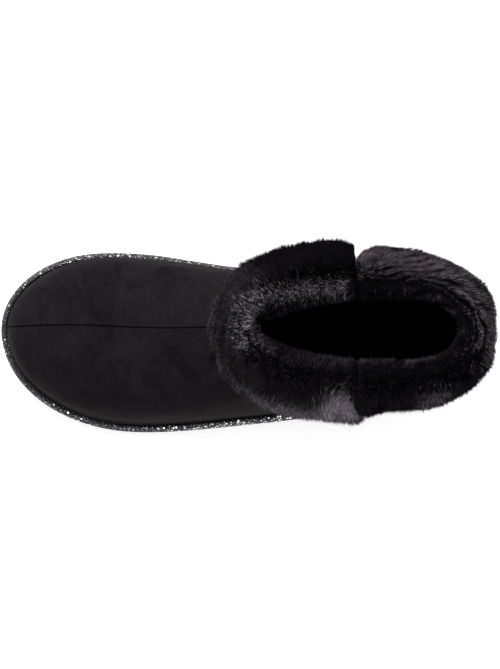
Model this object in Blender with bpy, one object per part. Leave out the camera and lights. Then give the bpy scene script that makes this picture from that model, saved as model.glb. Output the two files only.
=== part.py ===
"""Bootie slipper with a turned-down fur cuff, a left shoe, standing empty on its sole.

Metres, +Z up. The origin is on the floor under the middle of the heel seat, the toe points along +X,
and the outer (lateral) side of the foot is towards +Y.
"""

import math
import random
from collections import namedtuple

import bmesh
import bpy
from mathutils import Vector

# Sole
SOLE_LENGTH = 0.250
BALL_WIDTH = 0.0945
HEEL_SEAT = 0.034
TOE_REACH_MEDIAL = 0.054
TOE_REACH_LATERAL = 0.074
HEEL_REACH = 0.034
TOE_SPRING = 0.006
TOE_SPRING_FROM = 0.72
HEEL_BEVEL = 0.0015
HEEL_BEVEL_TO = 0.08
ARCH_LIFT = 0.0015
ARCH_FROM = 0.32
ARCH_TO = 0.50
OUTSOLE_THICKNESS = 0.004
OUTSOLE_EDGE_ROUND = 0.0014
OUTSOLE_INSET = 0.0005
PLATFORM_HEEL = 0.017
PLATFORM_BALL = 0.013
PLATFORM_HEEL_TO = 0.15
PLATFORM_BALL_FROM = 0.70

# Tread grooves under the forefoot and the heel
GROOVE_WIDTH = 0.0028
GROOVE_DEPTH = 0.0013
GROOVE_PITCH = 0.0115
GROOVE_MARGIN = 0.0075
GROOVE_HEEL_FROM = 0.07
GROOVE_HEEL_TO = 0.29
GROOVE_BALL_FROM = 0.53
GROOVE_BALL_TO = 0.91

# Wrap round the platform, footbed and upper
GAP = 0.0003
WRAP_THICKNESS = 0.0015
FEATHER_INSET = 0.005
INSOLE_THICKNESS = 0.005
INSOLE_EDGE_ROUND = 0.0015
WALL = 0.0024
BACK_HEIGHT = 0.100
FRONT_HEIGHT = 0.100
COLLAR_WIDTH = 0.050
COLLAR_FRONT_REACH = 0.072

# Fur cuff, a saddle over the collar's edge
CUFF_CLEARANCE = 0.0007
PILE = 0.0122
INNER_PILE = 0.0080
CREST_RISE = 0.0085
FUR_OVERHANG = 0.045
LOCK_RELIEF = 0.0017
LOCK_DROOP = 0.016
CREST_LOCKS = 0.6
INNER_LOCKS = 0.5
LIP_TAPER = 0.45
CORNER_FLARE = 0.0065
CORNER_REACH = 0.12

# Mesh steps
SIDE_STEPS = 30
RING_STEPS = 13
CUFF_COLUMNS = 34
OUTER_ROWS = 8
CREST_ROWS = 3
INNER_ROWS = 5
SLOPE_STEP = 0.004
ARC_STEPS = 240

# Half widths of the sole along its length, as shares of the ball width, before its ends are rounded
SoleStation = namedtuple("SoleStation", "length medial lateral")
SOLE_STATIONS = (
    SoleStation(0.00, 0.340, 0.365),
    SoleStation(0.14, 0.338, 0.372),
    SoleStation(0.38, 0.330, 0.500),
    SoleStation(0.50, 0.345, 0.533),
    SoleStation(0.60, 0.384, 0.560),
    SoleStation(0.70, 0.422, 0.572),
    SoleStation(0.76, 0.428, 0.572),
    SoleStation(1.00, 0.428, 0.572),
)

# The upper's rings from the feather line to the collar: where each one starts at the heel and ends over the
# foot (shares of the feather line's length), its height above the platform there (shares of the back and front
# heights), how far it has turned from the sole's outline into the ankle's oval, how far in from the sole's edge
# it lies on each side (shares of the feather inset), and the ankle's width as a share of the collar's
Ring = namedtuple("Ring", "back front back_lift front_lift ankle medial lateral ankle_share")
RINGS = (
    Ring(0.000, 1.000, 0.000, 0.000, 0.00, 1.00, 1.00, 1.50),
    Ring(-0.008, 1.006, 0.090, 0.090, 0.03, 0.40, 0.92, 1.50),
    Ring(-0.012, 0.995, 0.180, 0.180, 0.08, 0.40, 1.00, 1.50),
    Ring(-0.012, 0.964, 0.270, 0.265, 0.15, 0.57, 1.28, 1.50),
    Ring(-0.010, 0.911, 0.355, 0.335, 0.25, 0.88, 1.60, 1.48),
    Ring(-0.006, 0.844, 0.440, 0.400, 0.38, 1.28, 2.02, 1.42),
    Ring(-0.002, 0.766, 0.520, 0.460, 0.52, 1.68, 2.35, 1.36),
    Ring(0.002, 0.688, 0.600, 0.530, 0.66, 2.00, 2.65, 1.30),
    Ring(0.004, 0.620, 0.680, 0.610, 0.78, 2.25, 2.95, 1.24),
    Ring(0.004, 0.568, 0.760, 0.700, 0.88, 2.40, 3.15, 1.18),
    Ring(0.002, 0.531, 0.840, 0.800, 0.95, 2.40, 3.15, 1.12),
    Ring(0.000, 0.507, 0.920, 0.910, 0.99, 2.40, 3.15, 1.05),
    Ring(-0.002, 0.497, 1.000, 1.000, 1.00, 2.40, 3.15, 1.00),
)

# Round the ankle from the heel by the lateral side to the front and back by the medial side: the cuff's hem
# and its inner lip as rises from feather (0) to collar (1), and its pile as a share of the full pile
CuffStation = namedtuple("CuffStation", "angle hem lip pile")
CUFF_STATIONS = (
    CuffStation(0, 0.460, 0.66, 0.54),
    CuffStation(22, 0.460, 0.66, 0.82),
    CuffStation(50, 0.460, 0.66, 0.82),
    CuffStation(74, 0.465, 0.67, 0.80),
    CuffStation(94, 0.480, 0.68, 1.04),
    CuffStation(130, 0.640, 0.74, 0.96),
    CuffStation(155, 0.780, 0.82, 0.85),
    CuffStation(180, 0.850, 0.86, 0.75),
    CuffStation(205, 0.800, 0.82, 0.85),
    CuffStation(230, 0.680, 0.74, 1.10),
    CuffStation(264, 0.490, 0.68, 1.18),
    CuffStation(286, 0.460, 0.66, 0.92),
    CuffStation(310, 0.460, 0.66, 0.68),
    CuffStation(338, 0.460, 0.66, 0.70),
    CuffStation(360, 0.460, 0.66, 0.54),
)

# The two side seams where the cuff's pieces meet: the angle at the collar, how far the hem's end of the seam
# leans on round the ankle, half the notch it opens there, all in degrees, and its share of the corner's flare
Seam = namedtuple("Seam", "angle lean notch flare")
LATERAL_SEAM = Seam(92.0, -3.0, 0.8, 1.0)
MEDIAL_SEAM = Seam(268.0, 7.0, 5.0, 0.2)

# The cuff's thickness from its hem up to the collar's edge, as a share of the pile
PileStep = namedtuple("PileStep", "up pile")
OUTER_PILE_STEPS = (
    PileStep(0.00, 0.42),
    PileStep(0.14, 0.78),
    PileStep(0.40, 1.00),
    PileStep(0.75, 0.96),
    PileStep(1.00, 0.86),
)

# The wrap's outer face: inset from the sole's outline as a share of the feather inset, and height as a share
# of the platform's
WrapStep = namedtuple("WrapStep", "inset height")
WRAP_FACE = (
    WrapStep(0.10, 0.00),
    WrapStep(0.00, 0.32),
    WrapStep(0.05, 0.62),
    WrapStep(0.20, 0.84),
    WrapStep(0.40, 0.96),
    WrapStep(0.60, 1.00),
)

Finish = namedtuple("Finish", "colour roughness")
RUBBER = Finish((0.018, 0.018, 0.019), 0.75)
FOAM = Finish((0.030, 0.030, 0.032), 0.90)
SPARKLE_KNIT = Finish((0.090, 0.090, 0.095), 0.45)
SUEDE = Finish((0.014, 0.013, 0.014), 0.95)
FLEECE = Finish((0.010, 0.010, 0.011), 0.95)
FUR = Finish((0.022, 0.020, 0.023), 0.85)


def along(rows, at):
    """The rows' columns read at a place in their first column, by a smooth curve that never overshoots."""
    rows = [tuple(row) for row in rows]
    at = min(max(at, rows[0][0]), rows[-1][0])
    i = max(k for k in range(len(rows) - 1) if rows[k][0] <= at)
    a, b = rows[i], rows[i + 1]
    span = b[0] - a[0]
    t = (at - a[0]) / span
    found = []
    for c in range(1, len(a)):
        slope = (b[c] - a[c]) / span
        before = (a[c] - rows[i - 1][c]) / (a[0] - rows[i - 1][0]) if i > 0 else slope
        after = (rows[i + 2][c] - b[c]) / (rows[i + 2][0] - b[0]) if i + 2 < len(rows) else slope
        start = 2 * before * slope / (before + slope) if before * slope > 0 else 0
        end = 2 * after * slope / (after + slope) if after * slope > 0 else 0
        found.append(
            a[c] * (1 + 2 * t) * (1 - t) ** 2
            + b[c] * t * t * (3 - 2 * t)
            + span * (start * t * (1 - t) ** 2 - end * t * t * (1 - t))
        )
    return found


def mix(a, b, share):
    return a + (b - a) * share


def rounded(distance, reach):
    """The width left at a distance from an end that is rounded as an ellipse of that reach."""
    if distance >= reach:
        return 1.0
    return math.sqrt(max(0.0, 1 - (1 - distance / reach) ** 2))


def side_of(angle):
    """+1 on the lateral side, -1 on the medial side, and the angle from the heel on that side."""
    angle = angle % (2 * math.pi)
    return (1, angle) if angle <= math.pi else (-1, 2 * math.pi - angle)


def place(share):
    """The X of a share of the sole's length."""
    return share * SOLE_LENGTH - HEEL_SEAT


def share_at(x):
    return (x + HEEL_SEAT) / SOLE_LENGTH


def spring(share):
    """How far the whole sole is lifted by the toe spring and the heel's bevel."""
    toe = max(0.0, (share - TOE_SPRING_FROM) / (1 - TOE_SPRING_FROM))
    heel = max(0.0, (HEEL_BEVEL_TO - share) / HEEL_BEVEL_TO)
    return TOE_SPRING * toe**2 + HEEL_BEVEL * heel**2


def arch(share):
    """How far the tread is lifted off the floor between heel and forefoot."""
    t = (share - ARCH_FROM) / (ARCH_TO - ARCH_FROM)
    return ARCH_LIFT * math.sin(math.pi * t) ** 2 if 0 < t < 1 else 0.0


def platform_height(share):
    t = (share - PLATFORM_HEEL_TO) / (PLATFORM_BALL_FROM - PLATFORM_HEEL_TO)
    return mix(PLATFORM_HEEL, PLATFORM_BALL, min(1.0, max(0.0, t)))


def outsole_top(share):
    return spring(share) + OUTSOLE_THICKNESS


def platform_top(share):
    return outsole_top(share) + GAP + platform_height(share)


def sole_width(share, side):
    """Half width of the sole on one side, before its ends are rounded."""
    medial, lateral = along(SOLE_STATIONS, share)
    return BALL_WIDTH * (lateral if side > 0 else medial)


def toe_reach(side):
    return TOE_REACH_LATERAL if side > 0 else TOE_REACH_MEDIAL


def sole_outline(angle):
    """The point of the sole's outline at an angle from the heel, seen from above."""
    side, turn = side_of(angle)
    share = (1 - math.cos(turn)) / 2
    ends = rounded((1 - share) * SOLE_LENGTH, toe_reach(side)) * rounded(share * SOLE_LENGTH, HEEL_REACH)
    return Vector((place(share), side * sole_width(share, side) * ends, 0))


def ring_at(rise):
    """The upper's ring at a rise from feather (0) to collar (1)."""
    last = len(RINGS) - 1
    return Ring(*along([(i / last, *ring) for i, ring in enumerate(RINGS)], rise))


def ring_place(ring, t):
    """The distance from the sole's back end at a share t of the ring's length."""
    feather_length = SOLE_LENGTH - 2 * FEATHER_INSET
    return FEATHER_INSET + mix(ring.back, ring.front, t) * feather_length


def upper_base(angle, rise):
    """The point of the upper's outer face at an angle from the heel and a rise."""
    side, turn = side_of(angle)
    ring = ring_at(rise)
    t = (1 - math.cos(turn)) / 2
    run = ring_place(ring, t)
    share = run / SOLE_LENGTH
    over_sole = sole_width(share, side) - FEATHER_INSET * (ring.lateral if side > 0 else ring.medial)
    width = mix(over_sole, ring.ankle_share * COLLAR_WIDTH / 2, ring.ankle)
    front = rounded(ring_place(ring, 1) - run, mix(toe_reach(side), COLLAR_FRONT_REACH, ring.ankle))
    back = rounded(run - ring_place(ring, 0), HEEL_REACH)
    lift = mix(ring.back_lift * BACK_HEIGHT, ring.front_lift * FRONT_HEIGHT, t)
    return Vector((place(share), side * width * front * back, platform_top(share) + GAP + lift))


def upper_frame(angle, rise):
    """The upper's point with its outward normal and its upward direction along the wall."""
    here = upper_base(angle, rise)
    round_it = upper_base(angle + SLOPE_STEP, rise) - upper_base(angle - SLOPE_STEP, rise)
    up = upper_base(angle, min(1, rise + SLOPE_STEP)) - upper_base(angle, max(0, rise - SLOPE_STEP))
    out = up.cross(round_it).normalized()
    return here, out, up.normalized()


def upper_point(angle, rise, out):
    """The upper's point moved out from its outer face."""
    here, outward, _ = upper_frame(angle, rise)
    return here + outward * out


def loop_angles():
    return [math.pi * i / SIDE_STEPS for i in range(2 * SIDE_STEPS)]


def edge_loop(inset, lift):
    """A loop inside the sole's outline, inset towards the feather line, at lift(share) above the floor."""
    loop = []
    for angle in loop_angles():
        edge = sole_outline(angle)
        feather = upper_base(angle, 0)
        inward = Vector((feather.x - edge.x, feather.y - edge.y, 0)).normalized()
        point = edge + inward * inset
        point.z = lift(share_at(point.x))
        loop.append(point)
    return loop


def wrap_loop(row, depth):
    """The loop of one row of the wrap's face, moved in from the face by a depth."""
    step = WRAP_FACE[row]
    before, after = WRAP_FACE[max(0, row - 1)], WRAP_FACE[min(row + 1, len(WRAP_FACE) - 1)]
    rise = (after.height - before.height) * PLATFORM_BALL
    run = (after.inset - before.inset) * FEATHER_INSET
    slope = math.hypot(rise, run)
    drop = depth * run / slope if row else 0
    inset = step.inset * FEATHER_INSET + depth * rise / slope
    base = GAP - drop
    return edge_loop(inset, lambda share: outsole_top(share) + step.height * platform_height(share) + base)


def finish_material(name, finish):
    material = bpy.data.materials.new(name)
    material.use_nodes = True
    shader = material.node_tree.nodes["Principled BSDF"]
    shader.inputs["Base Color"].default_value = (*finish.colour, 1)
    shader.inputs["Roughness"].default_value = finish.roughness
    shader.inputs["Metallic"].default_value = 0.0
    return material


def solid(name, points, faces, material):
    """One closed solid as a named object, its faces turned outwards."""
    mesh = bpy.data.meshes.new(name)
    mesh.from_pydata(points, [], faces)
    work = bmesh.new()
    work.from_mesh(mesh)
    bmesh.ops.recalc_face_normals(work, faces=work.faces)
    work.to_mesh(mesh)
    work.free()
    mesh.shade_smooth()
    mesh.set_sharp_from_angle(angle=math.radians(40))
    mesh.materials.append(material)
    thing = bpy.data.objects.new(name, mesh)
    bpy.context.scene.collection.objects.link(thing)
    return thing


def band_faces(rows, columns, close_rows, close_columns):
    """Quads between rows of points, each row with the same number of columns."""
    faces = []
    for r in range(rows if close_rows else rows - 1):
        for c in range(columns if close_columns else columns - 1):
            a, b = r * columns, (r + 1) % rows * columns
            d = (c + 1) % columns
            faces.append((a + c, a + d, b + d, b + c))
    return faces


def ladder_faces(start, count):
    """Closes a loop by rungs between its lateral and medial points."""
    faces = []
    for i in range(count // 2):
        rung = [start + i, start + i + 1, start + count - i - 1, start + (count - i) % count]
        faces.append(tuple(dict.fromkeys(rung)))
    return faces


def slab(name, loops, material):
    """A solid of stacked loops with its top and bottom closed."""
    count = len(loops[0])
    points = [p for loop in loops for p in loop]
    faces = band_faces(len(loops), count, False, True)
    faces += ladder_faces(0, count) + ladder_faces((len(loops) - 1) * count, count)
    return solid(name, points, faces, material)


def ring_solid(name, loops, material):
    """A solid ring whose section is closed by the loops in turn."""
    points = [p for loop in loops for p in loop]
    return solid(name, points, band_faces(len(loops), len(loops[0]), True, True), material)


def groove_shares(first, last):
    count = int((last - first) * SOLE_LENGTH / GROOVE_PITCH)
    return [first + i * GROOVE_PITCH / SOLE_LENGTH for i in range(count + 1)]


def tread_cutter():
    """One bar for each groove, from rim to rim of the outsole."""
    points, faces = [], []
    shares = groove_shares(GROOVE_HEEL_FROM, GROOVE_HEEL_TO)
    shares += groove_shares(GROOVE_BALL_FROM, GROOVE_BALL_TO)
    for share in shares:
        ends = rounded(share * SOLE_LENGTH, HEEL_REACH)
        lateral = sole_width(share, 1) * ends * rounded((1 - share) * SOLE_LENGTH, TOE_REACH_LATERAL)
        medial = sole_width(share, -1) * ends * rounded((1 - share) * SOLE_LENGTH, TOE_REACH_MEDIAL)
        start = len(points)
        for x in (place(share) - GROOVE_WIDTH / 2, place(share) + GROOVE_WIDTH / 2):
            for y in (GROOVE_MARGIN - medial, lateral - GROOVE_MARGIN):
                for z in (-GROOVE_DEPTH, spring(share) + GROOVE_DEPTH):
                    points.append((x, y, z))
        box = ((0, 1, 3, 2), (4, 6, 7, 5), (0, 4, 5, 1), (2, 3, 7, 6), (0, 2, 6, 4), (1, 5, 7, 3))
        faces += [tuple(start + corner for corner in face) for face in box]
    return points, faces


def make_outsole():
    material = finish_material("rubber", RUBBER)
    loops = [
        edge_loop(OUTSOLE_INSET + OUTSOLE_EDGE_ROUND, lambda share: spring(share) + arch(share)),
        edge_loop(OUTSOLE_INSET, lambda share: spring(share) + arch(share) + OUTSOLE_EDGE_ROUND),
        edge_loop(OUTSOLE_INSET, outsole_top),
    ]
    outsole = slab("outsole", loops, material)
    points, faces = tread_cutter()
    cutter = solid("tread_cutter", points, faces, material)
    cutter.hide_render = True
    cutter.display_type = "WIRE"
    cut = outsole.modifiers.new("tread", "BOOLEAN")
    cut.operation = "DIFFERENCE"
    cut.object = cutter


def make_platform_and_wrap():
    rows = range(len(WRAP_FACE))
    outer = [wrap_loop(row, 0) for row in rows]
    inner = [wrap_loop(row, WRAP_THICKNESS) for row in reversed(rows)]
    ring_solid("platform_wrap", outer + inner, finish_material("sparkle_knit", SPARKLE_KNIT))
    sides = [wrap_loop(row, WRAP_THICKNESS + GAP) for row in rows]
    crown = edge_loop(FEATHER_INSET, platform_top)
    slab("platform", sides + [crown], finish_material("foam", FOAM))


def make_insole():
    """The footbed inside the upper's wall, with its top edge rounded."""
    loops = []
    edge_top = INSOLE_THICKNESS - INSOLE_EDGE_ROUND
    for inset, lift in ((0, 0), (0, edge_top), (INSOLE_EDGE_ROUND, INSOLE_THICKNESS)):
        loop = []
        for angle in loop_angles():
            point = upper_point(angle, 0, -(WALL + 2 * GAP + inset))
            point.z = platform_top(share_at(point.x)) + GAP + lift
            loop.append(point)
        loops.append(loop)
    slab("insole", loops, finish_material("fleece", FLEECE))


def make_upper():
    """Vamp, quarters and shaft as one wall from the feather line to the collar."""
    rises = [i / RING_STEPS for i in range(RING_STEPS + 1)]
    outer = [[upper_point(angle, rise, 0) for angle in loop_angles()] for rise in rises]
    inner = [[upper_point(angle, rise, -WALL) for angle in loop_angles()] for rise in reversed(rises)]
    ring_solid("upper", outer + inner, finish_material("suede", SUEDE))


def below(angle, rise):
    """The angle on the ring at that rise which lies under the collar's angle. The side columns run straight
    down, and those at the heel and the front fan out with the rings."""
    side, turn = side_of(angle)
    ring = ring_at(rise)
    run = ring_place(RINGS[-1], (1 - math.cos(turn)) / 2)
    start, end = ring_place(ring, 0), ring_place(ring, 1)
    level = min(1.0, max(0.0, (run - start) / (end - start)))
    straight = math.acos(1 - 2 * level)
    turned = mix(turn, straight, math.sin(turn) ** 2)
    return turned if side > 0 else 2 * math.pi - turned


def cuff_section(angle, hem_shift, flare, locks):
    """The cuff's section at one angle: its fur face from hem over the crest to the inner lip, and its back
    against the wall, point for point. hem_shift is the angle by which the hem runs ahead of the collar."""
    hem, lip, pile_share = along(CUFF_STATIONS, math.degrees(angle) % 360)
    pile = PILE * pile_share
    face, back = [], []
    for i in range(OUTER_ROWS):
        up = i / (OUTER_ROWS - 1)
        rise = mix(hem, 1, up)
        notched = angle + hem_shift * (1 - up) ** 1.5
        thick = pile * along(OUTER_PILE_STEPS, up)[0] + flare * (1 - up) ** 2
        lock = locks[i]
        sunk = FUR_OVERHANG * (1 - up) ** 3 + LOCK_DROOP * max(0.0, lock) * (0.3 + 0.7 * (1 - up))
        low = max(0.0, rise - sunk)
        face.append(upper_point(below(notched, low), low, CUFF_CLEARANCE + thick + LOCK_RELIEF * lock))
        back.append(upper_point(below(notched, rise), rise, CUFF_CLEARANCE))
    edge, outward, upward = upper_frame(angle, 1)
    middle = edge - outward * WALL / 2
    for i in range(CREST_ROWS):
        turn = math.pi * (i + 1) / (CREST_ROWS + 1)
        side_pile = pile * OUTER_PILE_STEPS[-1].pile if turn < math.pi / 2 else INNER_PILE
        relief = LOCK_RELIEF * CREST_LOCKS * locks[OUTER_ROWS + i]
        reach = WALL / 2 + CUFF_CLEARANCE + side_pile + relief
        over = CREST_RISE + relief
        face.append(middle + outward * reach * math.cos(turn) + upward * over * math.sin(turn))
        behind = WALL / 2 + CUFF_CLEARANCE
        back.append(middle + outward * behind * math.cos(turn) + upward * CUFF_CLEARANCE)
    for i in range(INNER_ROWS):
        down = i / (INNER_ROWS - 1)
        rise = mix(1, lip, down)
        relief = LOCK_RELIEF * INNER_LOCKS * locks[OUTER_ROWS + CREST_ROWS + i]
        thick = INNER_PILE * (1 - LIP_TAPER * down**2) + relief
        face.append(upper_point(below(angle, rise), rise, -(WALL + CUFF_CLEARANCE + thick)))
        back.append(upper_point(below(angle, rise), rise, -(WALL + CUFF_CLEARANCE)))
    return face + back[::-1]


def lock_field(columns, rows, seed):
    """A staggered pattern of locks, +1 at a lock's tip and below 0 between locks, a little uneven."""
    chance = random.Random(seed)
    return [
        [
            (chance.uniform(0.6, 1.4) if (c + r) % 2 == 0 else chance.uniform(-0.6, -0.1))
            for r in range(rows)
        ]
        for c in range(columns)
    ]


def even_angles(first, last, count):
    """Angles from first to last that part the collar into equal lengths."""
    angles = [mix(first, last, i / ARC_STEPS) for i in range(ARC_STEPS + 1)]
    points = [upper_base(angle, 1) for angle in angles]
    run = [0.0]
    for a, b in zip(points, points[1:]):
        run.append(run[-1] + (b - a).length)
    table = list(zip(run, angles))
    return [along(table, run[-1] * i / (count - 1))[0] for i in range(count)]


def make_cuff(name, first, last, flared, seed, material):
    """A fur piece of the cuff from one side seam to the other, with flared corners if it is the upper one."""
    rows = OUTER_ROWS + CREST_ROWS + INNER_ROWS
    locks = lock_field(CUFF_COLUMNS, rows, seed)
    half_gap = CUFF_CLEARANCE / (ring_place(RINGS[-1], 1) - ring_place(RINGS[-1], 0))
    start = math.radians(first.angle) + half_gap
    end = math.radians(last.angle) - half_gap
    if end < start:
        start -= 2 * math.pi
    points = []
    for c, angle in enumerate(even_angles(start, end, CUFF_COLUMNS)):
        t = c / (CUFF_COLUMNS - 1)
        at_first, at_last = max(0.0, 1 - t / CORNER_REACH), max(0.0, 1 - (1 - t) / CORNER_REACH)
        shift = first.lean * (1 - t) ** 2 + last.lean * t**2 + first.notch * at_first - last.notch * at_last
        flare = CORNER_FLARE * (first.flare * at_first + last.flare * at_last) if flared else 0
        points += cuff_section(angle, math.radians(shift), flare, locks[c])
    count = 2 * rows
    faces = band_faces(CUFF_COLUMNS, count, False, True)
    for end_row in (0, (CUFF_COLUMNS - 1) * count):
        for r in range(rows - 1):
            near, far = end_row + r, end_row + count - 1 - r
            faces.append((near, near + 1, far - 1, far))
    return solid(name, points, faces, material)


def main():
    for thing in list(bpy.data.objects):
        bpy.data.objects.remove(thing)
    make_outsole()
    make_platform_and_wrap()
    make_insole()
    make_upper()
    fur = finish_material("fur", FUR)
    make_cuff("cuff_front", LATERAL_SEAM, MEDIAL_SEAM, True, 3, fur)
    make_cuff("cuff_back", MEDIAL_SEAM, LATERAL_SEAM, False, 5, fur)


main()
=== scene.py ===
import math
from collections import namedtuple

import bmesh
import bpy
import numpy as np
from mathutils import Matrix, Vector
from mathutils.bvhtree import BVHTree


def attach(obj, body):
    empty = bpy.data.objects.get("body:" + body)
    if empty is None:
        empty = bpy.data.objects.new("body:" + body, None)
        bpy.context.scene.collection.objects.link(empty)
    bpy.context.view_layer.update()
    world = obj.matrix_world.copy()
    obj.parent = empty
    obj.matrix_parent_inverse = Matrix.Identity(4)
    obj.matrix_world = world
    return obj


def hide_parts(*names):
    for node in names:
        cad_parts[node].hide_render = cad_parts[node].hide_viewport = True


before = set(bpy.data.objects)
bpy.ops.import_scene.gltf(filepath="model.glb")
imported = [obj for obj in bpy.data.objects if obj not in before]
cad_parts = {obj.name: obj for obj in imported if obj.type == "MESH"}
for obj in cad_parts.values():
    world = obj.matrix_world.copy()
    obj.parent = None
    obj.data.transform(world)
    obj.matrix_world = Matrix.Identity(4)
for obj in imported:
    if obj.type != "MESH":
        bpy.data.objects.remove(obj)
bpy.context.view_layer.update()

# Camera: straight down over the slipper, toe at the image's left
IMAGE_HEIGHT_PX = 669
SENSOR = 36.0
CAMERA_HEIGHT = 1.5
CAMERA_X = 0.0845
CAMERA_Y = 0.0024
SOLE_PLANE = 0.010
PIXELS_PER_METRE = 1879.0

# Studio: the floor, just under the tread, and the strengths of the lights
FLOOR = -0.0001
FLOOR_HALF = 3.0
FLOOR_GLOW = 0.35
SKY_STRENGTH = 0.80
KEY_POWER = 20
FILL_POWER = 5

# A place seen from above, how far it reaches, and how strongly it acts there
Spot = namedtuple("Spot", "x y reach strength")

# Deep pile of the cuff: its surface as a share of the way from the wall to the solid's fur face, the
# size of its faces, how often it is smoothed, how deep it is where hairs start, and their reach where
# no fur face is over it
CORE_SHARE = 0.74
CORE_STEP = 0.0020
CORE_SMOOTHING = 12
PILE_FROM = 0.0012
OPEN_REACH = 0.002

# Hairs: their length, radius at the root and bend, how much further than the room in front of them they
# grow before they are sheared, and the least and the most that this scales them
HAIR_LENGTH = 0.0050
HAIR_RADIUS = 0.00021
HAIR_BEND = 0.30
HAIR_REACH = 1.4
HAIR_SCALES = (0.3, 2.1)

# How much each follows the surface's direction (Lift), the nap (Lay), and its clump with its own stray
# way (Tousle), and the shortest as a share of the full length
HAIR_VALUES = {"Lift": 1.0, "Lay": 0.55, "Tousle": 1.15, "Shortest": 0.72}
STRAY = 0.55
CLUMP_SCALE = 210.0

# Hairs in each layer on one piece of the cuff, and the darkest tint that a hair can have of its own
UNDERCOAT_COUNT = 46000
GUARD_COUNT = 18800
TINT_LOW = 0.4

# How far past the solid's fur face the hairs are sheared, and how unevenly
TRIM = 0.0017
TRIM_SPREAD = 0.0014

# Where the sheared fur is longer or shorter than elsewhere, in shares of the trim. It ends at the front
# hem, and the deep pile is set back by the sink at the outer hem.
NOTCH = Spot(0.0288, -0.0412, 0.0066, -2.5)
OUTER_TUFT = Spot(0.0300, 0.0425, 0.0060, 0.9)
OUTER_HEM = Spot(0.0900, 0.0330, 0.0130, -2.3)
INNER_HEM = Spot(0.0890, -0.0315, 0.0080, 1.0)
HEEL_END = Spot(-0.0370, 0.0040, 0.0110, -0.7)
HEEL_SHOULDER = Spot(-0.0300, -0.0245, 0.0110, 1.0)
FRONT_HEM = 0.098
FRONT_HEM_RUN = 0.025
OUTER_HEM_SINK = 0.2

# Collar's middle line seen from above, between these two ends
ANKLE_BACK = (-0.006, 0.0)
ANKLE_FRONT = (0.062, 0.0)

# Front tip of the opening, where the lining pile is short and the deep pile is set back by the sink
TIP = Spot(0.0800, -0.0060, 0.0055, 0.8)
TIP_SINK = 0.5

# How strongly hairs part along the side seams, how near the other piece they do, and how strongly in
# the folds
SEAM_PARTING = 0.7
SEAM_PARTING_REACH = 0.0025
FOLD_PARTING = 1.4

# Stretches of the band with more sequins: side (-1 inner, 1 outer), from and to in metres, and share of
# the full count. Elsewhere there are fewer. They are half as many near and under the band's widest
# line, and none low down.
Stretch = namedtuple("Stretch", "side back front share")
GLITTER = (
    Stretch(1, 0.064, 0.132, 0.85),
    Stretch(-1, 0.106, 0.186, 0.35),
)
GLITTER_ELSEWHERE = 0.16
GLITTER_FULL_OVER = 0.003
GLITTER_LOWEST = -0.004
SEQUIN_RADIUS = 0.00050
SEQUIN_DEPTH = 0.00010
SEQUIN_DENSITY = 240000.0
SEQUIN_TILT = 0.25

# Silver yarn on the band: slanted lines in metres, broken into glints, and thinner where the band is
# tucked in under the upper, partly the knit's own dark edge and partly painted shade of the upper's
# overhang; then the waves of the knit's loops, in radians for each metre
YARN_PITCH = 0.0026
YARN_SLANT = 2.2
YARN_WANDER = 0.0008
YARN_COVER = -0.05
YARN_EDGE = 9.0
GLINT_SCALE = 1500
GLINT_CONTRAST = 2.1
TUCK_SLOPE = 450.0
TUCK_OFFSET = -4.7
TUCK_COVER = -0.14
STITCHES = 5200.0
STITCH_ROWS = 6100.0

# Shape of the band: its middle, the height of its widest line, how soon its face turns away from that
# line, how many parts the line is read in, and how far the knit stands out
BAND_MIDDLE = (0.09, 0.004)
BAND_WIDEST = 0.0102
BAND_TURN = 0.001
BAND_PARTS = 90
KNIT_LOFT = 0.0007

# Upper: the middle seam, shown on top from the toe to the heel, its waves in radians for each metre, and
# where the lining starts
SEAM_DEPTH = 0.0006
SEAM_HALF_WIDTH = 0.0006
SEAM_Y = -0.0016
SEAM_WANDER = 0.0008
SEAM_WAVES = 58.0
SEAM_ROOM = 0.006
SEAM_SHADE = 0.9
SEAM_AT_TOE = 0.1
SEAM_AT_HEEL = -0.02
LINING_FROM = 0.0012
LINING_LOWEST = 0.015

# Soft creases of the upper where the foot bends it and where the shaft slumps: a line in metres, half
# width and depth
Crease = namedtuple("Crease", "points reach depth")
CREASES = (
    Crease(((0.112, -0.034, 0.046), (0.118, -0.022, 0.062), (0.121, -0.008, 0.068)), 0.0050, 0.0006),
    Crease(((0.110, 0.040, 0.044), (0.116, 0.030, 0.058), (0.120, 0.016, 0.066)), 0.0050, 0.0006),
    Crease(((0.128, -0.030, 0.044), (0.134, -0.016, 0.056), (0.136, -0.004, 0.060)), 0.0045, 0.0004),
    Crease(((0.132, 0.034, 0.044), (0.138, 0.022, 0.054), (0.140, 0.010, 0.058)), 0.0045, 0.0004),
    Crease(((0.070, -0.040, 0.040), (0.045, -0.041, 0.046), (0.020, -0.038, 0.042)), 0.0055, 0.0007),
    Crease(((0.068, 0.046, 0.040), (0.042, 0.044, 0.046), (0.016, 0.039, 0.042)), 0.0055, 0.0007),
    Crease(((0.006, -0.035, 0.056), (-0.014, -0.029, 0.050), (-0.026, -0.016, 0.052)), 0.0045, 0.0005),
    Crease(((0.002, 0.036, 0.052), (-0.016, 0.029, 0.048), (-0.027, 0.014, 0.054)), 0.0045, 0.0005),
)
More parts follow.
